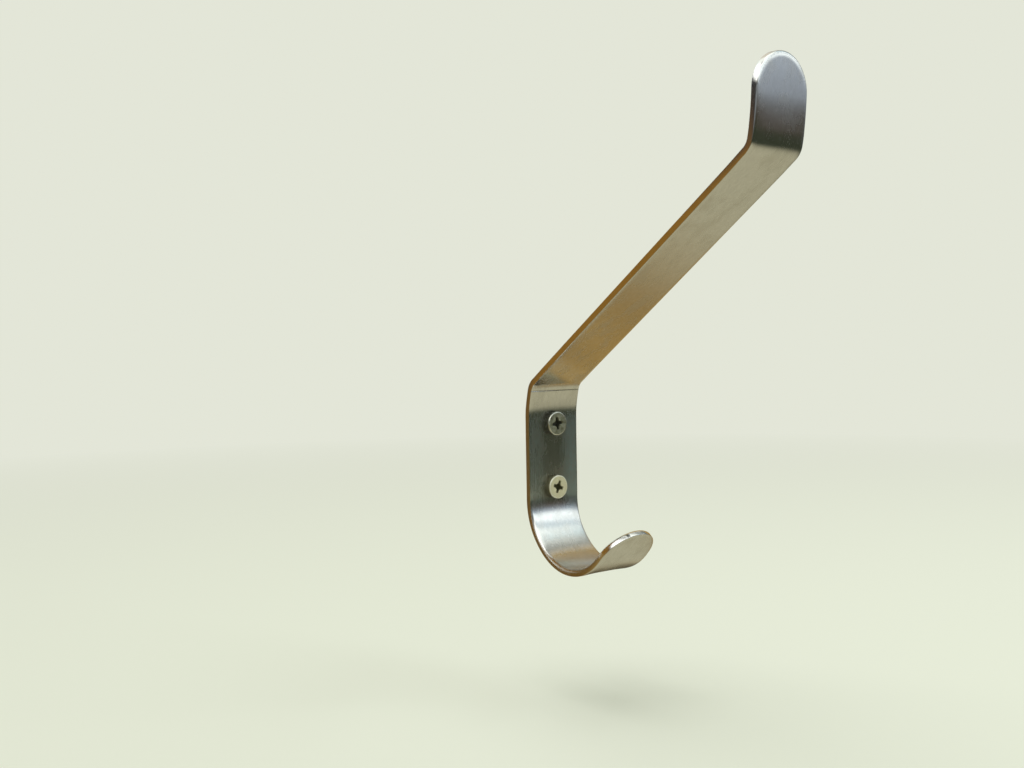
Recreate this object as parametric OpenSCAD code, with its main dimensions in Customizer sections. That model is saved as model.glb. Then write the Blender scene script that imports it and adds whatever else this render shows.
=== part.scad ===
// Coat hook bent from one flat steel strip, with the two wood screws that hold it to a board.
// The strip's plate stands on the wall. Above it an arm slopes outwards and ends in an upright
// tip. Below it the strip curls round into a small hook with a lip.
// Frame: the origin is on the wall, midway between the screws. +Z is up, -Y is out from the wall.

/* [Strip] */
// Width of the strip
strip_w = 20; // [16:0.5:26]
// Thickness of the strip
strip_t = 2.2; // [1.6:0.1:3]
// Rounding along the strip's four long edges
edge_r = 0.45; // [0.2:0.05:0.7]

/* [Plate] */
// Distance between the two screws
screw_pitch = 20.5; // [16:0.5:30]
// Flat length of the plate above the upper screw's centre
above_screw = 6.75; // [4.5:0.25:20]
// Flat length of the plate below the lower screw's centre
below_screw = 3.25; // [3:0.25:20]
// Clearance round the thread in each screw hole
hole_clearance = 0.2; // [0.1:0.05:1]
// Bevel at the front of each screw hole
hole_bevel = 0.1; // [0.05:0.05:0.4]

/* [Arm] */
// Angle between the arm and the wall
arm_angle = 55.5; // [40:0.5:65]
// Straight length of the arm
arm_len = 104; // [60:1:130]
// Inside radius of the bend at the arm's foot
foot_r = 8; // [4:0.5:14]
// Depth of the line that the press tool left across the foot bend
crease_depth = 0.08; // [0.04:0.01:0.15]
// Radius of that line's groove
crease_r = 0.5; // [0.3:0.1:1]

/* [Tip] */
// Inside radius of the bend below the tip
tip_r = 6; // [3:0.5:12]
// Angle that the tip leans out from upright
tip_lean = 4; // [0:0.5:10]
// Straight length of the tip before its round end
tip_straight = 11; // [1:0.5:30]

/* [Lower hook] */
// Inside radius of the curl where it leaves the plate
curl_r = 21; // [16:0.5:28]
// Angle turned at that radius
curl_turn = 45; // [30:1:60]
// Short flat between the curl's two radii
curl_flat = 0.2; // [0.1:0.1:5]
// Inside radius of the curl at its bottom
bowl_r = 17; // [12:0.5:24]
// Angle turned at the bottom radius
bowl_turn = 92.5; // [75:0.5:105]
// Straight length of the lip before its round end
lip_straight = 0.5; // [0.5:0.5:20]

/* [Screws] */
// Diameter over the thread
thread_d = 4; // [3.1:0.1:5]
// Diameter of the plain neck
neck_d = 2.8; // [2:0.1:3]
// Length from the top of the head to the point
screw_len = 16; // [12:1:50]
// Diameter of the countersunk head
head_d = 7.5; // [6.5:0.1:9]
// Thickness of the head's outer rim
head_rim = 0.6; // [0.2:0.1:0.8]
// How far the neck runs on past the strip before the thread starts
neck_past = 0.4; // [0.3:0.1:0.5]
// Length of the screw's point
point_len = 4; // [3:0.5:6]
// Clearance between the head and its seat
seat_gap = 0.02; // [0.01:0.01:0.1]

/* [Cross recess] */
// Width across the cross at the top of the head
cross_d = 4.2; // [3:0.1:5]
// Width of each wing of the cross
wing_w = 0.95; // [0.6:0.05:1.3]
// Slope of the wings' ends, from the screw's axis
wing_slope = 25; // [10:1:28]
// Diameter of the recess's round core at the top
core_d = 2; // [1.8:0.1:2.6]
// Diameter of the core at the bottom of the recess
core_end_d = 1.6; // [1:0.1:1.7]
// Depth of the recess
cross_depth = 2; // [1.2:0.1:2.4]
// Turn of the upper screw's cross
upper_turn = -8; // [-45:1:45]
// Turn of the lower screw's cross
lower_turn = 19; // [-45:1:45]
// Length of the four ticks between the wings
tick_len = 0.9; // [0.5:0.1:1.2]
// Width of the ticks
tick_w = 0.2; // [0.1:0.05:0.3]
// Depth of the ticks
tick_depth = 0.12; // [0.05:0.01:0.2]

/* [Hidden] */
$fn = 96;
// Overlap that makes a cut reach clear of a face
cut = 1;
// How much smaller a bend's section is on every side than a straight's
bend_inset = 0.001;
// How far a bend runs on into the straights at its ends
bend_lap = 0.03;
// Flat length of the plate above and below the origin
plate_up = screw_pitch / 2 + above_screw;
plate_down = screw_pitch / 2 + below_screw;
// Angle turned at the tip's bend, from the arm to the leaning tip
tip_turn = arm_angle - tip_lean;
// Diameter of each screw hole
hole_d = thread_d + hole_clearance;
// Width of the cross at the bottom of the recess
cross_end_d = cross_d - 2 * cross_depth * tan(wing_slope);
// A 90 degree head touches the bevel where its cone is as wide as the bevel
seat_d = hole_d + 2 * hole_bevel;
// How far the top of the head stands out from the strip's face
head_out = head_rim + (head_d - seat_d) / 2 + seat_gap;
// Depth of the head's cone, from its rim to the neck
cone_len = (head_d - neck_d) / 2;
// Distance from the top of the head to the start of the thread
thread_start = head_out + strip_t + neck_past;

// Half of the strip's cross-section: x runs from the middle to one edge, y through the thickness.
// Each rounded corner is three short chords of its arc. The inset makes it smaller all round.
module half_section(inset) {
  corner_x = strip_w / 2 - edge_r;
  corner_y = strip_t / 2 - edge_r;
  r = edge_r - inset;
  lower = [for (a = [-90:30:0]) [corner_x + r * cos(a), r * sin(a) - corner_y]];
  upper = [for (a = [0:30:90]) [corner_x + r * cos(a), r * sin(a) + corner_y]];
  polygon(concat([[0, -corner_y - r]], lower, upper, [[0, corner_y + r]]));
}

module section(inset) {
  half_section(inset);
  mirror([1, 0]) half_section(inset);
}

// The strip is walked from piece to piece. Each piece starts at the origin and runs up +Z, with
// its width along X, and the next piece is the child that it sets down at its end.
module straight(length) {
  linear_extrude(length) section(0);
  translate([0, 0, length]) children();
}

// A bend with this inside radius, towards +Y when way is 1 and -Y when way is -1. It runs a hair
// into the straights at its two ends, inside their faces, so that the pieces join cleanly.
module bend(inside_r, angle, way) {
  mid_r = inside_r + strip_t / 2;
  run_in = bend_lap / mid_r * 180 / PI;
  translate([0, way * mid_r, 0]) {
    rotate([90, 0, -90 * way])
      rotate(-run_in)
        rotate_extrude(angle = angle + 2 * run_in)
          translate([mid_r, 0]) rotate(90) section(bend_inset);
    rotate([-way * angle, 0, 0])
      translate([0, -way * mid_r, 0]) children();
  }
}

// The strip's last stretch: a straight length, and then a full round as wide as the strip
module round_end(length) {
  straight(length)
    rotate([90, 0, 0])
      rotate_extrude(angle = 180) half_section(0);
}

// Place of the strip's middle layer on the wall
module on_wall() {
  translate([0, -strip_t / 2, 0]) children();
}

module upper_half() {
  on_wall()
    straight(plate_up)
      bend(foot_r, arm_angle, -1)
        straight(arm_len)
          bend(tip_r, tip_turn, 1)
            round_end(tip_straight);
}

module lower_half() {
  on_wall()
    mirror([0, 0, 1])
      straight(plate_down)
        bend(curl_r, curl_turn, -1)
          straight(curl_flat)
            bend(bowl_r, bowl_turn, -1)
              round_end(lip_straight);
}

// Groove across the inside of the foot bend, half way round it
module crease() {
  groove_at = foot_r + crease_depth - crease_r;
  translate([0, -strip_t - foot_r, plate_up])
    rotate([arm_angle / 2, 0, 0])
      translate([0, groove_at, 0])
        rotate([0, 90, 0])
          cylinder(r = crease_r, h = strip_w + 2 * cut, center = true);
}

// Hole through the plate, with its bevel at the front face
module screw_hole() {
  rotate([90, 0, 0]) {
    translate([0, 0, -cut])
      cylinder(d = hole_d, h = strip_t + 2 * cut);
    translate([0, 0, strip_t - hole_bevel])
      cylinder(d1 = hole_d, d2 = seat_d, h = hole_bevel);
  }
}

module hook() {
  color([0.66, 0.66, 0.62])
    difference() {
      union() {
        upper_half();
        lower_half();
      }
      crease();
      for (side = [-1, 1])
        translate([0, 0, side * screw_pitch / 2]) screw_hole();
    }
}

// Recess cut down from the top of the head: four tapered wings round a core, and four ticks
module cross_recess() {
  translate([0, 0, -cross_depth])
    cylinder(d1 = core_end_d, d2 = core_d, h = cross_depth);
  intersection() {
    translate([0, 0, -cross_depth])
      cylinder(d1 = cross_end_d, d2 = cross_d, h = cross_depth);
    for (turn = [0, 90])
      rotate(turn) cube([cross_d, wing_w, 2 * cross_depth], center = true);
  }
  for (turn = [45:90:315])
    rotate(turn)
      translate([core_d / 2, -tick_w / 2, -tick_depth])
        cube([tick_len, tick_w, tick_depth + cut]);
}

// Wood screw with its head's top at the origin, pointing down -Z
module wood_screw() {
  difference() {
    rotate_extrude()
      polygon([
        [0, 0],
        [head_d / 2, 0],
        [head_d / 2, -head_rim],
        [neck_d / 2, -head_rim - cone_len],
        [neck_d / 2, -thread_start],
        [thread_d / 2, -thread_start],
        [thread_d / 2, -screw_len + point_len],
        [0, -screw_len],
      ]);
    cross_recess();
  }
}

// A screw in its hole at this height, with its cross turned clockwise as seen from the front
module seated_screw(height, turn) {
  translate([0, -strip_t - head_out, height])
    rotate([90, turn, 0]) wood_screw();
}

module upper_screw() {
  color([0.58, 0.58, 0.56]) seated_screw(screw_pitch / 2, upper_turn);
}

module lower_screw() {
  color([0.74, 0.72, 0.58]) seated_screw(-screw_pitch / 2, lower_turn);
}

hook();
upper_screw();
lower_screw();
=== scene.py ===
import math

import bmesh
import bpy
import numpy as np
from mathutils import Matrix, Vector


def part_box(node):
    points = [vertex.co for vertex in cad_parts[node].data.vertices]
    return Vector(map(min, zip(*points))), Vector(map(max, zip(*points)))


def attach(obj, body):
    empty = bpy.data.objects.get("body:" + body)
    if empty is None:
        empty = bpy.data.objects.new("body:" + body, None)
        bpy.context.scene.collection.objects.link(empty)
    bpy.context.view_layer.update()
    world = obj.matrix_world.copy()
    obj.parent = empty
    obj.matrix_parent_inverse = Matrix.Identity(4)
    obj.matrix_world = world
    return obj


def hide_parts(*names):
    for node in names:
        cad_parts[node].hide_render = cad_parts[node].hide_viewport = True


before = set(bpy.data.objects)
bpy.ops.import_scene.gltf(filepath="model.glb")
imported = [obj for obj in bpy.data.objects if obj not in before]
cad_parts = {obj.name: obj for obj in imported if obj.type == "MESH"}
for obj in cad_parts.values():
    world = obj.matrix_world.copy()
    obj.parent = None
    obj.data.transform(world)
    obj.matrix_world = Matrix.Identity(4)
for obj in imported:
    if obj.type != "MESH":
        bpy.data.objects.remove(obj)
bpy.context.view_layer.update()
scene = bpy.context.scene
MM = 0.001


# ---------------------------------------------------------------------------------------------
# The strip. One length of flat stainless bar, cut to length with a full round at each end. Its
# rim is rounded, two screw holes are drilled, its faces are brushed along its length, and then
# it is bent cold: the curl at the bottom, the arm's foot and the tip.
# ---------------------------------------------------------------------------------------------

strip_lo, strip_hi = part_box("hook")
strip_w = (strip_hi.x - strip_lo.x) / MM
strip_t = 2.2

# The bends. A corner is where the straights on its two sides would meet, given by its distance
# from the corner before. Its bend eases in and out: (radius, degrees) of arcs that follow on.
arm_angle = 55.5
tip_lean = 3.2
foot_bend = [(24.0, 9.0), (50.0, 6.0), (5.0, arm_angle - 15.0)]
tip_bend = [(4.8, tip_lean + 10.0 - arm_angle), (30.0, -6.0), (130.0, -4.0)]
curl_bend = [(60.0, 1.0), (22.1, 44.0), (18.1, 92.5)]
end_r = strip_w / 2


def chord(arcs):
    """Two lengths of a bend of arcs: from its start to the corner, and from the corner to its end.
    The arcs add up to a step along and a step aside; aside over the turn's sine is the second
    length, and along less aside over the turn's tangent is the first."""
    aside = along = reached = 0.0
    for r, degrees in arcs:
        turn = math.radians(degrees)
        r = math.copysign(r, turn)
        ahead, over = r * math.sin(turn), r - r * math.cos(turn)
        aside += over * math.cos(reached) + ahead * math.sin(reached)
        along += ahead * math.cos(reached) - over * math.sin(reached)
        reached += turn
    return along - aside / math.tan(reached), aside / math.sin(reached)


def stretches(corners, last):
    """(length, radians turned) of each stretch, from (distance, arcs) of each corner and the length
    beyond the last corner."""
    made = []
    done = 0.0
    for distance, arcs in corners:
        before, after = chord(arcs)
        made.append((distance - done - before, 0.0))
        made += [(r * abs(math.radians(degrees)), math.radians(degrees)) for r, degrees in arcs]
        done = after
    return made + [(last - done, 0.0)]


foot_corner, tip_corner, tip_len = 21.788, 112.8, 24.0
upward = stretches([(foot_corner, foot_bend), (tip_corner, tip_bend)], tip_len)
plate_down, lip_flat = 12.60, 0.7
downward = [(plate_down, 0.0)]
downward += [(r * math.radians(degrees), math.radians(degrees)) for r, degrees in curl_bend]
downward += [(lip_flat + end_r, 0.0)]
strip_top = sum(length for length, turn in upward)
strip_bottom = -sum(length for length, turn in downward)
screw_z = 10.25
hole_r = 2.1


def middle(s, way):
    """The strip's middle layer at distance s from the plate's middle, going up for way 1 and down
    for way -1: (out, along, turn). out is the distance from the wall side, along the height gained,
    and turn the angle in radians. Each stretch adds (r - r cos a, r sin a) turned by the angle that
    the earlier ones have reached, where r is its length over its turn and a is s over r."""
    out, along, turned = np.zeros_like(s), np.zeros_like(s), np.zeros_like(s)
    start = 0.0
    reached = 0.0
    for length, turn in upward if way > 0 else downward:
        part = np.clip(s - start, 0, length)
        if turn:
            r = length / turn
            a = part / r
            du, dv = r - r * np.cos(a), r * np.sin(a)
            turned = turned + a
        else:
            du, dv = np.zeros_like(part), part
        out = out + du * math.cos(reached) + dv * math.sin(reached)
        along = along + dv * math.cos(reached) - du * math.sin(reached)
        start += length
        reached += turn
    return out, along, turned


def bent(x, s, n):
    """The place in millimetres of the flat blank's point (x, s, n): x across, s along, n out of the
    front face. It is the middle layer's point, plus n along its normal (0, -cos t, -/+ sin t)."""
    up = s >= 0
    places = [np.where(up, a, b) for a, b in zip(middle(s, 1), middle(-s, -1))]
    out, along, turned = places
    way = np.where(up, 1.0, -1.0)
    y = -strip_t / 2 - out - n * np.cos(turned)
    z = way * (along - n * np.sin(turned))
    return np.stack([x + 0 * s, y, z], -1)


def smooth_step(value):
    """0 below 0, 1 above 1, and 3 v^2 - 2 v^3 between."""
    v = np.clip(value, 0, 1)
    return v * v * (3 - 2 * v)


def bend_share(s):
    """How sharply the strip is bent near s: up to 1 in bends towards the front and down to -1 in
    bends towards the back. An arc of the sharp radius or less counts in full and one of the gentle
    radius or more not at all. The share rises and falls within a stretch round the arc's ends."""
    sharp_r, gentle_r = 18, 40
    rise, inwards = 16, 4
    share = np.zeros_like(s)
    for way, arcs in ((1, upward), (-1, downward)):
        start = 0.0
        for length, turn in arcs:
            if turn and length / abs(turn) < gentle_r:
                weight = math.copysign(min(1.0, sharp_r * abs(turn) / length), turn)
                risen = smooth_step((way * s - start - inwards) / rise + 0.5)
                fallen = smooth_step((way * s - start - length + inwards) / rise + 0.5)
                share += weight * (risen - fallen)
            start += length
    return share


def spread(*stops):
    """Stations from a list of (from, to, step): evenly spaced in each stretch, with shared ends."""
    pieces = [np.linspace(a, b, max(1, round((b - a) / step)) + 1) for a, b, step in stops]
    return np.unique(np.round(np.concatenate(pieces), 6))


# The flat blank's grid: rows along its length, closest in the bends and at the holes
hole_half = 3.0
hole_cell = 0.5
up_marks = np.cumsum([length for length, turn in upward])
crease_s, crease_zone = 21.4, 0.8
past_bend = 2.4
lip_start = strip_bottom + end_r
window = screw_z + hole_half
side_rows = spread(
    (lip_start, -window, 0.3),
    (-window, -window + 2 * hole_half, hole_cell),
    (-window + 2 * hole_half, window - 2 * hole_half, 1),
    (window - 2 * hole_half, window, hole_cell),
    (window, crease_s - crease_zone, 0.2),
    (crease_s - crease_zone, crease_s + crease_zone, 0.05),
    (crease_s + crease_zone, up_marks[3] + past_bend, 0.2),
    (up_marks[3] + past_bend, up_marks[4] - past_bend, 2),
    (up_marks[4] - past_bend, up_marks[6] + past_bend, 0.2),
    (up_marks[6] + past_bend, strip_top - end_r, 0.4),
)
# The rim's front edge is rounded by (width, depth): a little along the strip, more round its ends
# and most in the curl, which has been polished bright. The mesh keeps the curl's width for it.
side_wide, side_deep = 0.36, 0.25
end_wide, end_deep = 0.60, 0.42
curl_wide, curl_deep = 0.90, 0.95
back_round = 0.25
flat_half = end_r - curl_wide
edge_band = 2
grid_x_lines = np.concatenate([
    np.arange(-hole_half, hole_half + 0.01, hole_cell),
    np.linspace(hole_half, flat_half - edge_band, 9)[1:],
    np.linspace(flat_half - edge_band, flat_half, 13)[1:],
])
columns = np.unique(np.round(np.concatenate([grid_x_lines, -grid_x_lines]), 6))
end_angles = np.radians(np.linspace(0, 90, 37))[1:]


def face_grid():
    """(x, s) of the flat face's grid. Its rows are as wide as the flat between the rounded rims;
    past each end's centre they are the chords of a circle, down to one point at the crown."""
    rows_s = np.concatenate([
        strip_bottom + end_r - flat_half * np.sin(end_angles[::-1]),
        side_rows,
        strip_top - end_r + flat_half * np.sin(end_angles),
    ])
    half = np.concatenate([
        flat_half * np.cos(end_angles[::-1]),
        np.full(len(side_rows), flat_half),
        flat_half * np.cos(end_angles),
    ])
    x = half[:, None] * (columns / flat_half)[None, :]
    return x, np.repeat(rows_s[:, None], len(columns), 1)


def grid_quads(rows, cols, first=0, keep=None):
    """Faces of a grid whose point (i, j) is first + i * cols + j, without those that keep
    refuses."""
    i, j = np.meshgrid(np.arange(rows - 1), np.arange(cols - 1), indexing="ij")
    a = first + i * cols + j
    quads = np.stack([a, a + 1, a + cols + 1, a + cols], -1)
    return quads[keep] if keep is not None else quads.reshape(-1, 4)


def ring_quads(first, rings, around):
    """Faces of closed rings, each of the same number of points, laid one after another."""
    i, j = np.meshgrid(np.arange(rings - 1), np.arange(around), indexing="ij")
    a = first + i * around + j
    b = first + i * around + (j + 1) % around
    return np.stack([a, b, b + around, a + around], -1).reshape(-1, 4)


def mesh_object(name, points, quads, material, smooth=True):
    """An object with a mesh of these points, in metres, and these faces."""
    mesh = bpy.data.meshes.new(name)
    mesh.from_pydata(points.reshape(-1, 3), [], quads)
    obj = bpy.data.objects.new(name, mesh)
    scene.collection.objects.link(obj)
    mesh.materials.append(material)
    mesh.polygons.foreach_set("use_smooth", np.full(len(mesh.polygons), smooth))
    return obj


def weld(obj):
    """Merges the points of one place, drops faces without area and points without a face, and
    turns the faces outwards."""
    work = bmesh.new()
    work.from_mesh(obj.data)
    bmesh.ops.remove_doubles(work, verts=work.verts, dist=1e-6)
    bmesh.ops.dissolve_degenerate(work, edges=work.edges, dist=1e-7)
    unused = [point for point in work.verts if not point.link_faces]
    bmesh.ops.delete(work, geom=unused, context="VERTS")
    bmesh.ops.recalc_face_normals(work, faces=work.faces)
    work.to_mesh(obj.data)
    work.free()


grid_x, grid_s = face_grid()
n_rows, n_cols = grid_x.shape
cell_x = (grid_x[:-1, :-1] + grid_x[1:, 1:]) / 2
cell_s = (grid_s[:-1, :-1] + grid_s[1:, 1:]) / 2
in_window = (np.abs(cell_x) < hole_half) & (np.abs(np.abs(cell_s) - screw_z) < hole_half)

# Round each hole, rings blend from the square that the grid leaves to the hole's own circle
per_side = int(round(2 * hole_half / hole_cell))
step = np.linspace(-hole_half, hole_half, per_side + 1)[:-1]
square = np.concatenate([
    np.stack([step, np.full(per_side, -hole_half)], -1),
    np.stack([np.full(per_side, hole_half), step], -1),
    np.stack([-step, np.full(per_side, hole_half)], -1),
    np.stack([np.full(per_side, -hole_half), -step], -1),
])
square_angle = np.arctan2(square[:, 1], square[:, 0])
hole_bevel = 0.1
bevel_angles = np.radians([90, 60, 30, 0])


def hole_rings(centre, side):
    """Rings (x, s, n) from the square to the hole's rim, over its bevel, to half the thickness."""
    circle = np.stack([np.cos(square_angle), np.sin(square_angle)], -1)
    rim = hole_r + hole_bevel
    blend = np.array([1.0, 0.66, 0.33, 0.08, 0.0])[:, None, None]
    flat = square[None] * blend + rim * circle[None] * (1 - blend)
    turned = [circle * (rim - hole_bevel * math.cos(a)) for a in bevel_angles[1:]]
    depth = [hole_bevel * (1 - math.sin(a)) for a in bevel_angles[1:]]
    rings = np.concatenate([flat, np.stack(turned), circle[None] * hole_r])
    n = np.concatenate([np.zeros(len(flat)), depth, [strip_t / 2]])
    n = side * (strip_t / 2 - n)
    around = rings.shape[1]
    return np.stack([rings[..., 0], rings[..., 1] + centre,
                     np.repeat(n[:, None], around, 1)], -1)


# The rim is one profile carried round the blank's outline: front rounding, wall, back rounding
left = np.stack([np.full(len(side_rows), -flat_half), side_rows], -1)
crown = np.stack([-np.cos(end_angles), np.sin(end_angles)], -1)
top_arc = np.concatenate([crown, crown[-2::-1] * [-1, 1]])
outline = np.concatenate([
    left,
    [0, strip_top - end_r] + flat_half * top_arc,
    left[::-1] * [-1, 1],
    [0, strip_bottom + end_r] + flat_half * top_arc[::-1] * [1, -1],
])
outward = np.concatenate([
    np.tile([-1.0, 0.0], (len(left), 1)),
    top_arc,
    np.tile([1.0, 0.0], (len(left), 1)),
    top_arc[::-1] * [1, -1],
])
rim_turn = np.radians(np.linspace(0, 90, 9))
back_out = np.append(curl_wide - back_round + back_round * np.sin(rim_turn[::-1]), 0)
back_n = np.append(back_round - back_round * np.cos(rim_turn[::-1]), 0) - strip_t / 2

# The front rounding's width and depth at each point of the outline
curl_from, curl_full = -12, -24
from_end = np.minimum(outline[:, 1] - strip_bottom, strip_top - outline[:, 1])
at_end = smooth_step((2.4 * end_r - from_end) / end_r)
in_curl = smooth_step((curl_from - outline[:, 1]) / (curl_from - curl_full))
round_wide = side_wide + np.maximum((end_wide - side_wide) * at_end,
                                    (curl_wide - side_wide) * in_curl)
round_deep = side_deep + np.maximum((end_deep - side_deep) * at_end,
                                    (curl_deep - side_deep) * in_curl)

# The two faces with their holes, and then the rim, whose rings run from the front face's edge
# over the front rounding, down the wall and over the back rounding to the back face's edge
parts, quads, first = [], [], 0
for side in (1, -1):
    n = np.full(grid_x.shape, side * strip_t / 2)
    parts.append(np.stack([grid_x, grid_s, n], -1).reshape(-1, 3))
    quads.append(grid_quads(n_rows, n_cols, first, ~in_window))
    first += n_rows * n_cols
    for centre in (screw_z, -screw_z):
        rings = hole_rings(centre, side)
        parts.append(rings.reshape(-1, 3))
        quads.append(ring_quads(first, *rings.shape[:2]))
        first += rings.shape[0] * rings.shape[1]
on_rim = np.ones((1, len(outline)))
rim_out = np.concatenate([
    0 * on_rim,
    curl_wide - round_wide[None, :] * (1 - np.sin(rim_turn[:, None])),
    back_out[:, None] * on_rim,
])
rim_n = np.concatenate([
    strip_t / 2 * on_rim,
    strip_t / 2 - round_deep[None, :] * (1 - np.cos(rim_turn[:, None])),
    back_n[:, None] * on_rim,
])
rim = np.zeros((*rim_out.shape, 3))
rim[..., :2] = outline[None] + outward[None] * rim_out[:, :, None]
rim[..., 2] = rim_n
parts.append(rim.reshape(-1, 3))
quads.append(ring_quads(first, len(rim_out), len(outline)))
blank = np.concatenate(parts)
rim_first = len(blank) - len(rim_out) * len(outline)
rim_share = np.concatenate([np.zeros(rim_first), (rim_out / curl_wide).ravel()])

# Where each point lies on the finish: (across, along, through). The faces are brushed along the
# strip, and the rim is polished along the outline, so there across runs through the thickness.
rim_steps = np.hypot(np.diff(rim_out, axis=0), np.diff(rim_n, axis=0))
rim_across = np.concatenate([0 * on_rim, np.cumsum(rim_steps, axis=0)])
rim_along = np.concatenate([[0], np.cumsum(np.hypot(*np.diff(outline, axis=0).T))])
finish = blank.copy()
finish[rim_first:, 0] = rim_across.ravel() + 2 * end_r
finish[rim_first:, 1] = np.tile(rim_along, len(rim_out))
finish[rim_first:, 2] = 0

# The press tool's line across the inside of the foot bend, a shallow rounded groove
crease_depth, crease_half = 0.07, 0.16
on_front = blank[:, 2] > 0
groove = np.exp(-(((blank[:, 1] - crease_s) / crease_half) ** 2)) * crease_depth
fainter_right = 0.04
groove = groove * (1 - fainter_right * blank[:, 0])
blank_n = blank[:, 2] - np.where(on_front, groove * blank[:, 2] / (strip_t / 2), 0)

# Polishing has worn both faces down a little towards the rim
past_end = np.maximum(np.abs(blank[:, 1] - (strip_top + strip_bottom) / 2)
                      - (strip_top - strip_bottom) / 2 + end_r, 0)
inset = end_r - np.hypot(blank[:, 0], past_end)
crown_wide, crown_deep = 1.8, 0.13
worn = crown_deep * np.clip(1 - inset / crown_wide, 0, 1) ** 2
blank_n = blank_n * (1 - worn / (strip_t / 2))

# In a bend the steel's squeezed side spreads, so the strip's edges curl a little the other way
saddle_deep = 0.32
saddle = saddle_deep * (np.abs(blank[:, 0] / end_r) ** 3 - 0.25)
blank_n = blank_n - bend_share(blank[:, 1]) * saddle

# Hanging loops have rubbed the front dull at the curl's bottom, 33 to 49 mm down the strip. A hazy
# film of grease lies along the plate's front, thick on the right and half as thick on the left. Its
# bluish tint, set in the material, is a painted sheen.
rubbed = on_front * smooth_step((blank[:, 1] + 49) / 8) * smooth_step((-33 - blank[:, 1]) / 6)
grease_and_sheen_middle, grease_and_sheen_half = -2, 18
grease_and_sheen_share = smooth_step((blank[:, 0] - 1.5) / 6) + 0.5 * smooth_step((-2 - blank[:, 0]) / 5)
grease_and_sheen_share = on_front * grease_and_sheen_share * smooth_step((grease_and_sheen_half - np.abs(blank[:, 1] - grease_and_sheen_middle)) / 6)


def shader_group(name, outputs):
    """A node group that takes coordinates and gives numbers with these names: (tree, coordinates
    given, output node)."""
    tree = bpy.data.node_groups.new(name, "ShaderNodeTree")
    tree.interface.new_socket("Coordinates", in_out="INPUT", socket_type="NodeSocketVector")
    for label in outputs:
        tree.interface.new_socket(label, in_out="OUTPUT", socket_type="NodeSocketFloat")
    coords = tree.nodes.new("NodeGroupInput").outputs["Coordinates"]
    return tree, coords, tree.nodes.new("NodeGroupOutput")


def node(tree, kind, links=None, **settings):
    """A node with these settings, and with links from sockets or values to its named inputs."""
    made = tree.nodes.new("ShaderNode" + kind)
    for key, value in settings.items():
        setattr(made, key, value)
    for key, value in (links or {}).items():
        socket = made.inputs[key]
        if isinstance(value, bpy.types.NodeSocket):
            tree.links.new(value, socket)
        else:
            socket.default_value = value
    return made


def grouped(tree, group, coords):
    """The outputs of a node group that is given these coordinates."""
    return node(tree, "Group", {"Coordinates": coords}, node_tree=group).outputs


def maths(tree, operation, a, b=0.0):
    """One number from one or two: a Math node's result."""
    return node(tree, "Math", {0: a, 1: b}, operation=operation).outputs[0]


def scaled(tree, value, factor):
    """The value times a number or another value."""
    return maths(tree, "MULTIPLY", value, factor)


def ranged(tree, value, lo, hi, to_lo=0.0, to_hi=1.0):
    """The value, with lo to hi stretched to to_lo to to_hi and held there outside."""
    links = {"Value": value, "From Min": lo, "From Max": hi, "To Min": to_lo, "To Max": to_hi}
    return node(tree, "MapRange", links, clamp=True).outputs["Result"]


def stretched_noise(tree, coords, scale, detail=2.0, roughness=0.5, distortion=0.0):
    """Noise from coordinates that are scaled by three numbers first, so that it has a grain."""
    mapped = node(tree, "Mapping", {"Vector": coords, "Scale": scale}).outputs[0]
    links = {"Vector": mapped, "Scale": 1.0, "Detail": detail, "Roughness": roughness,
             "Distortion": distortion}
    return node(tree, "TexNoise", links).outputs["Fac"]


def brushing_group():
    """Brush lines along the second coordinate: fine ones 0.07 mm apart and broad ones of 0.5 mm,
    with a few deeper scratches. Out come the height of the lines and how dull each line is."""
    tree, coords, made = shader_group("brushing", ["Height", "Dullness"])
    fine = stretched_noise(tree, coords, (9000, 40, 2500), 3)
    broad = stretched_noise(tree, coords, (1700, 22, 900), 2)
    wander = stretched_noise(tree, coords, (260, 90, 200), 2)
    scratch = stretched_noise(tree, coords, (6000, 14, 1500), 1)
    deep = ranged(tree, scratch, 0.70, 0.80)
    lines = maths(tree, "ADD", scaled(tree, fine, 0.5), scaled(tree, broad, 0.9))
    lines = maths(tree, "ADD", lines, scaled(tree, wander, 0.8))
    lines = maths(tree, "SUBTRACT", lines, scaled(tree, deep, 0.35))
    tree.links.new(lines, made.inputs["Height"])
    dull = maths(tree, "ADD", scaled(tree, fine, 0.6), scaled(tree, broad, 0.4))
    tree.links.new(dull, made.inputs["Dullness"])
    return tree


def handling_group():
    """Marks from handling: soft smudges of skin oil some 6 mm across and finer mottling. Out come
    the share of smudge and of mottling, from 0 to 1."""
    tree, coords, made = shader_group("handling_marks", ["Smudge", "Mottling"])
    soft = stretched_noise(tree, coords, (170, 120, 170), 3, 0.55, 0.4)
    tree.links.new(ranged(tree, soft, 0.48, 0.68), made.inputs["Smudge"])
    mottling = stretched_noise(tree, coords, (900, 500, 900), 3, 0.6)
    tree.links.new(mottling, made.inputs["Mottling"])
    return tree


brushing = brushing_group()
handling = handling_group()


def blended(tree, share, first, second):
    """Two colours, or colour sockets, mixed by a share from 0 to 1."""
    sides = [value if isinstance(value, bpy.types.NodeSocket) else (*value, 1)
             for value in (first, second)]
    return node(tree, "Mix", {0: share, 6: sides[0], 7: sides[1]}, data_type="RGBA").outputs[2]


def point_mask(tree, name):
    """A number that each point of the mesh carries under this name."""
    return node(tree, "Attribute", attribute_name=name).outputs["Fac"]


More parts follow.
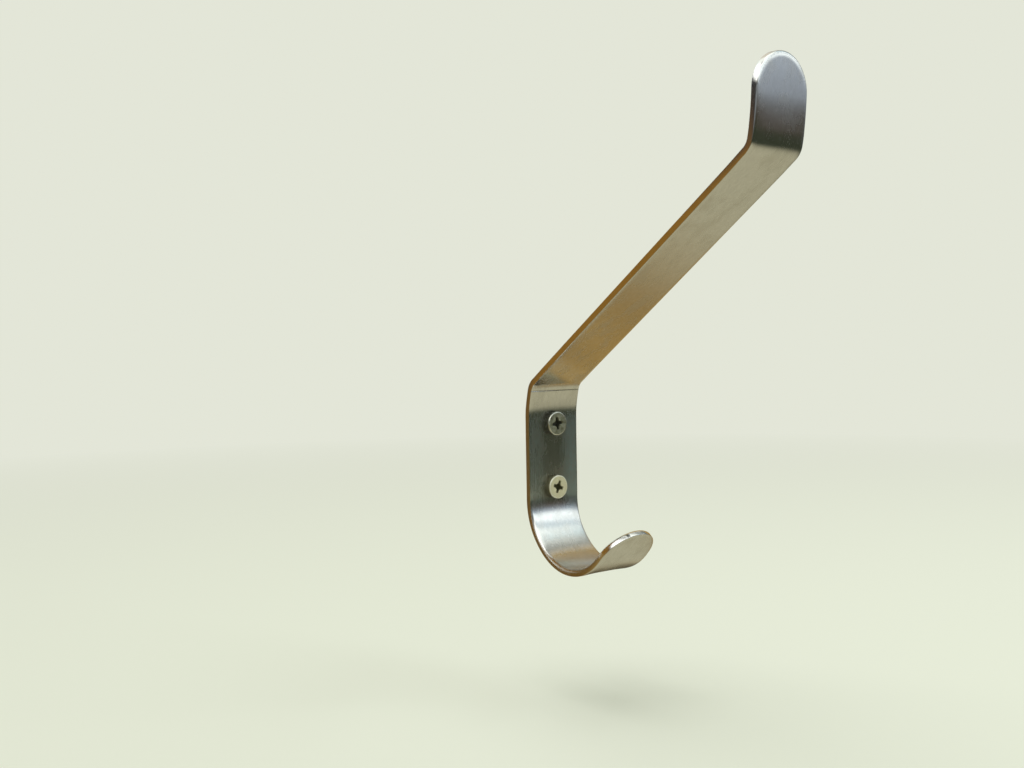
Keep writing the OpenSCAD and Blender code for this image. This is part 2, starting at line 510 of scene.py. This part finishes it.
def brushed_steel():
    """Stainless bar brushed along its length. The lines spread the reflections across the strip
    and hardly along it, so the highlight is stretched along the tangent, across the strip. The
    grease is a thin, dull coat whose bluish tint is a painted sheen."""
    material = bpy.data.materials.new("brushed_steel")
    material.use_nodes = True
    tree = material.node_tree
    shader = tree.nodes["Principled BSDF"]
    place = node(tree, "Attribute", attribute_name="finish").outputs["Vector"]
    brush = grouped(tree, brushing, place)
    marks = grouped(tree, handling, place)
    smudge, mottling = marks["Smudge"], marks["Mottling"]
    darker, paler, oily = (0.57, 0.56, 0.525), (0.63, 0.62, 0.585), (0.50, 0.485, 0.43)
    colour = blended(tree, ranged(tree, mottling, 0.3, 0.7), darker, paler)
    colour = blended(tree, scaled(tree, smudge, 0.35), colour, oily)
    rough = ranged(tree, brush["Dullness"], 0.3, 0.7, 0.22, 0.27)
    grease_and_sheen_mask = point_mask(tree, "grease_and_sheen")
    for mask, duller in ((smudge, 0.07), (point_mask(tree, "rubbed"), 0.11), (grease_and_sheen_mask, 0.06),
                         (point_mask(tree, "rim"), -0.09)):
        rough = maths(tree, "ADD", rough, scaled(tree, mask, duller))
    line_depth = 0.0000038
    bump = node(tree, "Bump", {"Height": brush["Height"], "Distance": line_depth, "Strength": 1.0})
    tree.links.new(colour, shader.inputs["Base Color"])
    tree.links.new(rough, shader.inputs["Roughness"])
    tree.links.new(bump.outputs[0], shader.inputs["Normal"])
    tangent = node(tree, "Tangent", direction_type="UV_MAP", uv_map="strip")
    tree.links.new(tangent.outputs[0], shader.inputs["Tangent"])
    shader.inputs["Metallic"].default_value = 1.0
    shader.inputs["Anisotropic"].default_value = 0.9
    grease_and_sheen = scaled(tree, grease_and_sheen_mask, ranged(tree, mottling, 0.3, 0.6, 0.6, 1.0))
    tree.links.new(grease_and_sheen, shader.inputs["Coat Weight"])
    shader.inputs["Coat Roughness"].default_value = 0.5
    shader.inputs["Coat IOR"].default_value = 1.8
    # The grease coat's bluish tint is a painted sheen on the plate
    shader.inputs["Coat Tint"].default_value = (0.70, 0.94, 1.0, 1)
    return material


steel_strip = mesh_object(
    "steel_strip",
    bent(blank[:, 0], blank[:, 1], blank_n) * MM,
    np.concatenate(quads),
    brushed_steel(),
)
finish_marks = steel_strip.data.attributes.new("finish", "FLOAT_VECTOR", "POINT")
finish_marks.data.foreach_set("vector", (finish * MM).ravel())
for label, mask in (("rim", rim_share), ("rubbed", rubbed), ("grease_and_sheen", grease_and_sheen_share)):
    marks = steel_strip.data.attributes.new(label, "FLOAT", "POINT")
    marks.data.foreach_set("value", mask)
uv = steel_strip.data.uv_layers.new(name="strip")
corner_point = np.empty(len(steel_strip.data.loops), int)
steel_strip.data.loops.foreach_get("vertex_index", corner_point)
uv.data.foreach_set("uv", (finish[corner_point, :2] * MM).ravel())
weld(steel_strip)
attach(steel_strip, "root")
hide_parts("hook")


# ---------------------------------------------------------------------------------------------
# The two screws. Countersunk wood screws of zinc-plated steel, 4 by 16 mm, with a cross recess
# and its four small ticks. Each cone seats on the front of its hole, and the head stands out.
# ---------------------------------------------------------------------------------------------

head_r, head_rim = 3.75, 0.6
neck_r, thread_r = 1.4, 2.0
thread_start, thread_pitch = 4.77, 1.8
screw_len, point_len = 16.0, 4.0
screw_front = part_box("upper_screw")[0].y / MM
cross_r, wing_half, core_r = 2.15, 0.60, 1.2
cross_depth = 2.0
around = 192


def recess(r, angle):
    """Depth of the cross recess at this radius and angle. Each wing's floor falls inwards from its
    end at 25 degrees to the axis, its walls are near upright, and a tapered core joins the four.
    Between the wings lie four shallow ticks."""
    wall, wing_taper, core_dip = 0.18, 0.08, 0.25
    tick_from, tick_to, tick_half, tick_deep = 1.0, 1.95, 0.11, 0.12
    tick_side, tick_end = 0.05, 0.1
    floor_slope = math.tan(math.radians(25))
    depth = np.zeros_like(r)
    for quarter in range(4):
        turn = angle - quarter * math.pi / 2
        ahead, aside = r * np.cos(turn), r * np.sin(turn)
        floor = np.clip((cross_r - ahead) / floor_slope, 0, cross_depth)
        half = wing_half - wing_taper * (ahead - core_r)
        wing = smooth_step((half - np.abs(aside)) / wall) * (ahead > 0)
        depth = np.maximum(depth, floor * wing)
        turn = turn - math.pi / 4
        ahead, aside = r * np.cos(turn), r * np.sin(turn)
        tick = smooth_step((tick_half - np.abs(aside)) / tick_side)
        tick = tick * smooth_step((ahead - tick_from) / tick_end)
        tick = tick * smooth_step((tick_to - ahead) / tick_end)
        depth = np.maximum(depth, tick_deep * tick)
    core = cross_depth + core_dip * np.clip(1 - r / core_r, 0, 1)
    return np.maximum(depth, core * smooth_step((core_r - r) / wall))


def screw_points(turn, height):
    """The whole screw as one grid of rings from the middle of the head to the point. A ring is a
    radius and a depth; the recess lowers the rings of the head's face, and the thread widens those
    of the shank by a ridge that climbs one pitch a turn."""
    lip = 0.22
    ring_step, ridge_half = 0.09, 0.34
    turn_in = np.radians(np.linspace(0, 90, 7))
    over_recess = np.linspace(0, 2.3, 70)
    face_r = np.concatenate([over_recess, np.linspace(2.45, head_r - lip, 6)])
    face_a = np.zeros_like(face_r)
    rim_r = head_r - lip + lip * np.sin(turn_in[1:])
    rim_a = lip - lip * np.cos(turn_in[1:])
    under_r = np.array([head_r, head_r - 0.05, neck_r + 0.15, neck_r])
    under_a = np.array([head_rim - 0.04, head_rim + 0.05, head_rim + head_r - neck_r - 0.15,
                        head_rim + head_r - neck_r + 0.12])
    shank_a = np.arange(thread_start - 1.3, screw_len - 0.02, ring_step)
    to_point = np.clip((screw_len - shank_a) / point_len, 0, 1)
    shank_r = neck_r * np.minimum(1, to_point * 1.15)
    r = np.concatenate([face_r, rim_r, under_r, shank_r, [0.0]])
    a = np.concatenate([face_a, rim_a, under_a, shank_a, [screw_len]])
    angle = np.linspace(0, 2 * math.pi, around, endpoint=False)
    ring_r = np.repeat(r[:, None], around, 1)
    ring_a = np.repeat(a[:, None], around, 1)
    ring_t = np.repeat(angle[None, :], len(r), 0)
    on_face = ring_a == 0
    ring_a = np.where(on_face, recess(ring_r, ring_t), ring_a)
    ridge = np.mod(ring_a / thread_pitch - ring_t / (2 * math.pi), 1.0) - 0.5
    ridge = np.clip(1 - np.abs(ridge) * thread_pitch / ridge_half, 0, 1)
    begun = smooth_step((ring_a - thread_start + 0.1) / 0.9)
    taper = np.clip((screw_len - ring_a) / point_len, 0, 1)
    on_shank = (ring_a > thread_start - 0.2) & ~on_face
    widest = thread_r * smooth_step(taper * 1.3) ** 0.6
    grown = (widest - ring_r) * ridge * begun
    ring_r = ring_r + np.where(on_shank, np.maximum(grown, 0), 0)
    ring_t = ring_t + math.radians(turn)
    x = ring_r * np.sin(ring_t)
    z = ring_r * np.cos(ring_t)
    return np.stack([x, screw_front + ring_a, z + height], -1)


def plating_group():
    """Barrel-plated zinc: fine grain, and small bruises where screws knocked together. Out come
    the height of the surface and a mask of the bruises."""
    tree, coords, made = shader_group("zinc_plating", ["Height", "Bruises"])
    grain = stretched_noise(tree, coords, (6000, 6000, 6000), 3)
    knocks = node(tree, "TexVoronoi", {"Vector": coords, "Scale": 1900.0}).outputs["Distance"]
    bruise = ranged(tree, knocks, 0.12, 0.28, 1.0, 0.0)
    height = maths(tree, "SUBTRACT", scaled(tree, grain, 0.5), scaled(tree, bruise, 0.5))
    tree.links.new(height, made.inputs["Height"])
    tree.links.new(bruise, made.inputs["Bruises"])
    return tree


plating = plating_group()


def zinc(name, colour, bruised, recess_and_shade_colour, metallic, roughness, uneven):
    """Zinc plating of this colour over steel, uneven in tone, with bruises and a rubbed pale edge.
    It is darker in the recess, and painted shade darkens the underside of the head; the points
    carry both."""
    material = bpy.data.materials.new(name)
    material.use_nodes = True
    tree = material.node_tree
    shader = tree.nodes["Principled BSDF"]
    place = node(tree, "TexCoord").outputs["Object"]
    plated = grouped(tree, plating, place)
    mottling = grouped(tree, handling, place)["Mottling"]
    recess_and_shade, rubbed = point_mask(tree, "recess_and_shade"), point_mask(tree, "edge")
    base = blended(tree, plated["Bruises"], colour, bruised)
    base = blended(tree, ranged(tree, mottling, 0.35, 0.65, 0.0, uneven), base, bruised)
    rubbed_bare = (0.80, 0.80, 0.70)
    base = blended(tree, scaled(tree, rubbed, 0.8), base, rubbed_bare)
    # Darker in the recess, and painted shade under the head
    base = blended(tree, scaled(tree, recess_and_shade, 0.95), base, recess_and_shade_colour)
    rough = ranged(tree, mottling, 0.3, 0.7, roughness - 0.05, roughness + 0.07)
    rough = maths(tree, "ADD", rough, scaled(tree, recess_and_shade, 0.3))
    rough = maths(tree, "SUBTRACT", rough, scaled(tree, rubbed, 0.1))
    bump = node(tree, "Bump", {"Height": plated["Height"], "Distance": 0.00004, "Strength": 0.6})
    tree.links.new(base, shader.inputs["Base Color"])
    tree.links.new(rough, shader.inputs["Roughness"])
    tree.links.new(bump.outputs[0], shader.inputs["Normal"])
    bare = maths(tree, "SUBTRACT", metallic, scaled(tree, recess_and_shade, metallic * 0.9))
    tree.links.new(bare, shader.inputs["Metallic"])
    return material


# Of each screw: its name, its slot, its cross's turn in degrees, its height, and its zinc
screws = [
    ("upper_screw", "zinc_grey", -8.0, screw_z, {
        "colour": (0.22, 0.225, 0.15), "bruised": (0.52, 0.52, 0.40), "recess_and_shade_colour": (0.03, 0.032, 0.02),
        "metallic": 0.93, "roughness": 0.34, "uneven": 0.7}),
    ("lower_screw", "zinc_pale", 19.0, -screw_z, {
        "colour": (0.70, 0.67, 0.46), "bruised": (0.56, 0.52, 0.33), "recess_and_shade_colour": (0.07, 0.07, 0.025),
        "metallic": 0.6, "roughness": 0.5, "uneven": 0.35}),
]
for name, slot, turn, height, look in screws:
    points = screw_points(turn, height)
    screw = mesh_object("visible_" + name, points * MM, ring_quads(0, *points.shape[:2]),
                        zinc(slot, **look))
    # The recess is made darker, painted shade darkens the head's underside, and handling has rubbed
    # the head's edge pale
    below = points[..., 1] - screw_front
    ring_r = np.hypot(points[..., 0], points[..., 2] - height)
    recess_and_shade_share = smooth_step(below / 0.7) * (ring_r < cross_r + 0.2) * (below < cross_depth + 0.4)
    under = smooth_step((below - 0.25) / 0.25) * smooth_step((ring_r - neck_r) / 0.4)
    recess_and_shade_share = np.maximum(recess_and_shade_share, under * (below < head_rim + head_r))
    at_edge = smooth_step((ring_r - head_r + 0.3) / 0.12) * (below < 0.2)
    for label, mask in (("recess_and_shade", recess_and_shade_share), ("edge", at_edge)):
        marks = screw.data.attributes.new(label, "FLOAT", "POINT")
        marks.data.foreach_set("value", mask.ravel())
    weld(screw)
    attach(screw, "root")
    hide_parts(name)


# ---------------------------------------------------------------------------------------------
# The studio. A plain pale floor that runs into a pale backdrop, and soft boxes above and in
# front. Bare steel shows what is round it, so cards that only reflections see stand for a room:
# the warm board that the hook is made for, a paper-covered table, dark beyond, and a window.
# ---------------------------------------------------------------------------------------------

floor_z = -0.075
pale = (0.77, 0.79, 0.685)


def stage_material(name):
    """An empty material: (material, node tree, output node)."""
    material = bpy.data.materials.new(name)
    material.use_nodes = True
    tree = material.node_tree
    tree.nodes.clear()
    return material, tree, tree.nodes.new("ShaderNodeOutputMaterial")


def dotted(tree, vector, direction):
    """How far a position lies along a direction."""
    links = {0: vector, 1: direction}
    return node(tree, "VectorMath", links, operation="DOT_PRODUCT").outputs["Value"]


def from_origin(tree, vector):
    """How far a position is from the origin."""
    return node(tree, "VectorMath", {0: vector}, operation="LENGTH").outputs["Value"]


def flat_sheet(name, low, high, material):
    """A flat sheet between two corners that share one coordinate. It faces +Z, or -Y if it
    stands in a plane of one y."""
    low, high = np.array(low, float), np.array(high, float)
    if low[2] == high[2]:
        points = [(low[0], low[1], low[2]), (high[0], low[1], low[2]),
                  (high[0], high[1], low[2]), (low[0], high[1], low[2])]
    else:
        points = [(low[0], low[1], low[2]), (high[0], low[1], low[2]),
                  (high[0], low[1], high[2]), (low[0], low[1], high[2])]
    made = mesh_object(name, np.array(points), [(0, 1, 2, 3)], material, smooth=False)
    return made


def card_material(name, paint):
    """A material that glows on its front with the colours that paint(tree, place) makes, and is
    clear from behind."""
    material, tree, output = stage_material(name)
    place = node(tree, "TexCoord").outputs["Object"]
    glow = node(tree, "Emission", {"Color": paint(tree, place)})
    behind = node(tree, "NewGeometry").outputs["Backfacing"]
    clear = node(tree, "BsdfTransparent").outputs[0]
    mixed = node(tree, "MixShader", {0: behind, 1: glow.outputs[0], 2: clear})
    tree.links.new(mixed.outputs[0], output.inputs["Surface"])
    material.cycles.emission_sampling = "NONE"
    return material


def only_reflected(obj):
    """Hides a card from everything but reflections."""
    obj.visible_camera = False
    obj.visible_diffuse = False
    obj.visible_transmission = False
    obj.visible_shadow = False


# Near the hook the floor takes its shadow. Further off it glows with the backdrop's colour, so
# that no horizon shows.
floor_material, tree, output = stage_material("floor")
place = node(tree, "TexCoord").outputs["Object"]
far = ranged(tree, from_origin(tree, place), 0.15, 1.0)
near_floor = node(tree, "BsdfDiffuse", {"Color": (0.86, 0.88, 0.78, 1)})
far_floor = node(tree, "Emission", {"Color": (*pale, 1)})
mixed = node(tree, "MixShader", {0: far, 1: near_floor.outputs[0], 2: far_floor.outputs[0]})
tree.links.new(mixed.outputs[0], output.inputs["Surface"])
floor_material.cycles.emission_sampling = "NONE"
flat_sheet("floor", (-6, -6, floor_z), (6, 6, floor_z), floor_material)


def zone(tree, *edges):
    """A share that is 1 inside a zone and 0 outside. The zone's edges are (value, lo, hi): each
    rises from 0 at lo to 1 at hi, and the share is their product."""
    share = ranged(tree, *edges[0])
    for edge in edges[1:]:
        share = scaled(tree, share, ranged(tree, *edge))
    return share


def from_line(tree, value, line):
    """How far the value is from this line, on either side."""
    return maths(tree, "ABSOLUTE", maths(tree, "SUBTRACT", value, line))


def board_colours(tree, place):
    """Warm wood, brighter towards its top and right of the hook, and pale at the foot. It is dark
    in the hook's own shade on the left, in a painted shadow low on the right, and at the top left.
    Left of the curl lies a small patch of sun."""
    x = dotted(tree, place, (1, 0, 0))
    z = dotted(tree, place, (0, 0, 1))
    lit = blended(tree, ranged(tree, z, -0.02, 0.06), (0.45, 0.27, 0.06), (0.66, 0.52, 0.24))
    foot = zone(tree, (z, -0.055, -0.068), (x, 0.075, 0.055))
    lit = blended(tree, foot, lit, (0.60, 0.53, 0.34))
    beside = blended(tree, ranged(tree, x, -0.017, -0.0115),
                     (0.35, 0.18, 0.035), (0.21, 0.12, 0.038))
    below = blended(tree, ranged(tree, x, -0.042, -0.034),
                    (0.38, 0.25, 0.08), (0.21, 0.12, 0.033))
    shade = blended(tree, ranged(tree, z, -0.018, -0.026), beside, below)
    wood = blended(tree, ranged(tree, x, -0.002, 0.002), shade, lit)
    # A painted shadow low on the right of the hook
    painted_shadow_patch = zone(tree, (z, -0.031, -0.036), (x, 0.057, 0.049), (x, 0.010, 0.020))
    wood = blended(tree, painted_shadow_patch, wood, (0.09, 0.08, 0.05))
    sun = zone(tree, (from_line(tree, z, -0.024), 0.007, 0.004),
                 (from_line(tree, x, -0.031), 0.0055, 0.0035))
    wood = blended(tree, sun, wood, (1.5, 1.6, 1.5))
    dusk = zone(tree, (z, 0.085, 0.130), (x, 0.0, -0.01))
    return blended(tree, dusk, wood, (0.05, 0.05, 0.055))


def table_colours(tree, place):
    """A round sheet of pale paper on a dark table. Next to the board the paper carries painted
    shade, warmed by painted light bounced off the board, in a strip that is broader on the right
    and broadest on the left."""
    x = dotted(tree, place, (1, 0, 0))
    y = dotted(tree, place, (0, 1, 0))
    close = ranged(tree, y, -0.012, 0.0)
    right = zone(tree, (y, -0.07, -0.02), (x, 0.06, 0.075))
    strip_end = maths(tree, "MAXIMUM", ranged(tree, x, 0.115, 0.09),
                      ranged(tree, y, -0.02, -0.008))
    strip = scaled(tree, maths(tree, "MAXIMUM", close, right), strip_end)
    left = zone(tree, (x, -0.035, -0.075), (y, -0.12, -0.08))
    # Painted shade, warmed by painted light bounced off the board
    painted_shade_and_bounce = scaled(tree, maths(tree, "MAXIMUM", strip, left), ranged(tree, y, 0.012, 0.004))
    paper = blended(tree, painted_shade_and_bounce, (0.60, 0.575, 0.405), (0.30, 0.19, 0.06))
    dark = blended(tree, ranged(tree, x, 0.35, 0.75),
                   (0.055, 0.066, 0.045), (0.050, 0.058, 0.034))
    return blended(tree, ranged(tree, from_origin(tree, place), 0.29, 0.47), paper, dark)


def elevation_ramp(tree, height, stops):
    """Colours by height above the horizon, from (degrees, colour) stops. The height given is the
    sine of the elevation."""
    ramp = node(tree, "ValToRGB", {0: ranged(tree, height, 0.0, 1.0)})
    marks = ramp.color_ramp.elements
    marks[0].position, marks[0].color = 0.0, (*stops[0][1], 1)
    marks[-1].position, marks[-1].color = 1.0, (*stops[-1][1], 1)
    for degrees, colour in stops:
        marks.new(math.sin(math.radians(degrees))).color = (*colour, 1)
    return ramp.outputs[0]


def room_colours(tree, place):
    """A room. On the right it is dark up to 6 degrees above the horizon and hazy up to 12. Then
    come a bright pane up to 24, a dimmer one up to 45, and a bright ceiling above 52. On the left
    it is dim up to 19, bright from 25 to 61 and dimmer from 65 to 73. High in front lies a bright
    crescent, and high on the right a dimmer patch. The corner on the right, beside and behind the
    board, is dim, paler above, and has the board's warm tone near the ceiling."""
    direction = node(tree, "VectorMath", {0: place}, operation="NORMALIZE").outputs["Vector"]
    height = dotted(tree, direction, (0, 0, 1))
    window_side = elevation_ramp(tree, height, [
        (1.2, (0.070, 0.062, 0.040)),
        (3.3, (0.135, 0.112, 0.098)),
        (6.0, (0.130, 0.125, 0.120)),
        (8.4, (0.36, 0.41, 0.48)),
        (10.4, (0.48, 0.56, 0.71)),
        (12.0, (0.58, 0.68, 0.82)),
        (13.6, (1.85, 2.02, 2.10)),
        (23.5, (1.85, 2.02, 2.10)),
        (27.0, (0.68, 0.86, 1.00)),
        (31.0, (0.68, 0.86, 1.00)),
        (34.0, (0.82, 1.12, 1.25)),
        (45.0, (0.82, 1.12, 1.25)),
        (52.0, (1.60, 1.68, 1.62)),
    ])
    dim_side = elevation_ramp(tree, height, [
        (1.0, (0.09, 0.09, 0.08)),
        (5.0, (0.30, 0.33, 0.36)),
        (9.0, (0.30, 0.33, 0.36)),
        (13.0, (0.11, 0.11, 0.10)),
        (19.0, (0.16, 0.16, 0.15)),
        (25.0, (2.20, 2.26, 2.26)),
        (61.0, (2.20, 2.26, 2.26)),
        (65.0, (0.42, 0.45, 0.43)),
        (73.0, (0.42, 0.45, 0.43)),
        (76.0, (1.40, 1.45, 1.40)),
    ])
    nearer = dotted(tree, direction, (-0.6, -0.8, 0))
    rightwards = dotted(tree, direction, (1, 0, 0))
    backwards = dotted(tree, direction, (0, 1, 0))
    crescent = zone(tree, (nearer, 0.0, 0.08), (height, 0.52, 0.60))
    window_side = blended(tree, crescent, window_side, (1.95, 2.05, 1.98))
    room = blended(tree, ranged(tree, rightwards, -0.17, -0.03), dim_side, window_side)
    patch = ranged(tree, dotted(tree, direction, (0.675, -0.095, 0.731)), 0.952, 0.985)
    room = blended(tree, patch, room, (0.58, 0.66, 0.62))
    corner = blended(tree, ranged(tree, height, 0.35, 0.65),
                     (0.19, 0.23, 0.25), (0.38, 0.42, 0.40))
    warm = maths(tree, "MAXIMUM",
                 zone(tree, (backwards, -0.15, 0.05), (height, 0.60, 0.72)),
                 zone(tree, (backwards, 0.15, 0.25), (height, 0.42, 0.58)))
    corner = blended(tree, warm, corner, (0.95, 0.89, 0.76))
    behind = zone(tree, (backwards, -0.36, -0.18), (rightwards, 0.1, 0.3))
    return blended(tree, behind, room, corner)


# The board's cards, by their corners (x, z). They stand 0.12 mm in front of the wall, so that the
# strip's back isn't in their plane. Gaps close behind the foot bend and the curl let the backs of
# these mirror the room.
board_y = -0.00012
board_cards = {
    "board_card_left": ((-0.5, floor_z), (-0.010, 0.178)),
    "board_card_plate": ((-0.010, -0.0125), (0.030, 0.014)),
    "board_card_above": ((-0.010, 0.040), (0.030, 0.10)),
    "board_card_below": ((-0.010, floor_z), (0.030, -0.040)),
    "board_card_right": ((0.030, floor_z), (0.19, 0.10)),
}
wood = card_material("board_card", board_colours)
for name, ((x0, z0), (x1, z1)) in board_cards.items():
    only_reflected(flat_sheet(name, (x0, board_y, z0), (x1, board_y, z1), wood))
table_z = floor_z + 0.0005
only_reflected(flat_sheet("table_card", (-6, -6, table_z), (6, 6, table_z),
                          card_material("table_card", table_colours)))

# The room is a dome: (cos u cos v, cos u sin v, sin u) times its radius, facing inwards
dome_r = 5.0
dome_rows, dome_cols = 48, 97
dome_up = np.radians(np.linspace(-4, 90, dome_rows))[:, None]
dome_round = np.radians(np.linspace(0, 360, dome_cols))[None, :]
dome = mesh_object(
    "room_card",
    dome_r * np.stack([np.cos(dome_up) * np.cos(dome_round), np.cos(dome_up) * np.sin(dome_round),
                       np.sin(dome_up) + 0 * dome_round], -1),
    grid_quads(dome_rows, dome_cols)[:, ::-1],
    card_material("room_card", room_colours),
)
only_reflected(dome)


def soft_box(name, place, size, power, colour):
    """A square soft light that faces the hook and isn't mirrored in it."""
    data = bpy.data.lights.new(name, "AREA")
    data.size = size
    data.energy = power
    data.color = colour
    light = bpy.data.objects.new(name, data)
    scene.collection.objects.link(light)
    turned = Vector(place).normalized().to_track_quat("Z", "Y").to_matrix().to_4x4()
    light.matrix_world = Matrix.Translation(place) @ turned
    light.visible_glossy = False


soft_box("window_box", (0.70, -0.80, 0.75), 0.9, 5.0, (0.93, 1.0, 1.0))
soft_box("overhead_box", (-0.1, 0.1, 1.3), 1.0, 7.0, (1.0, 1.0, 0.98))

# The backdrop has its full strength where it is seen or mirrored, and lights the hook with less
world = bpy.data.worlds.new("studio")
scene.world = world
world.use_nodes = True
tree = world.node_tree
ray = node(tree, "LightPath")
seen = maths(tree, "MAXIMUM", ray.outputs["Is Camera Ray"], ray.outputs["Is Glossy Ray"])
seen = maths(tree, "MAXIMUM", seen, ray.outputs["Is Transmission Ray"])
unseen_strength = 0.6
strength = ranged(tree, seen, 0.0, 1.0, unseen_strength, 1.0)
backdrop = tree.nodes["Background"]
backdrop.inputs["Color"].default_value = (*pale, 1)
tree.links.new(strength, backdrop.inputs["Strength"])


# ---------------------------------------------------------------------------------------------
# The camera, on the hook's left and a little above its middle, looking slightly down.
# ---------------------------------------------------------------------------------------------

camera = bpy.data.objects.new("camera", bpy.data.cameras.new("camera"))
scene.collection.objects.link(camera)
camera.data.sensor_width = 36.0
camera.data.lens = 39.79
camera.data.clip_start = 0.01
heading, down, roll = math.radians(37.71), math.radians(2.10), math.radians(-1.05)
turned = (Matrix.Rotation(-heading, 4, "Z") @ Matrix.Rotation(math.pi / 2 - down, 4, "X")
          @ Matrix.Rotation(roll, 4, "Z"))
camera.matrix_world = Matrix.Translation((-0.23383, -0.28312, 0.03656)) @ turned
scene.camera = camera
scene.view_settings.view_transform = "Standard"
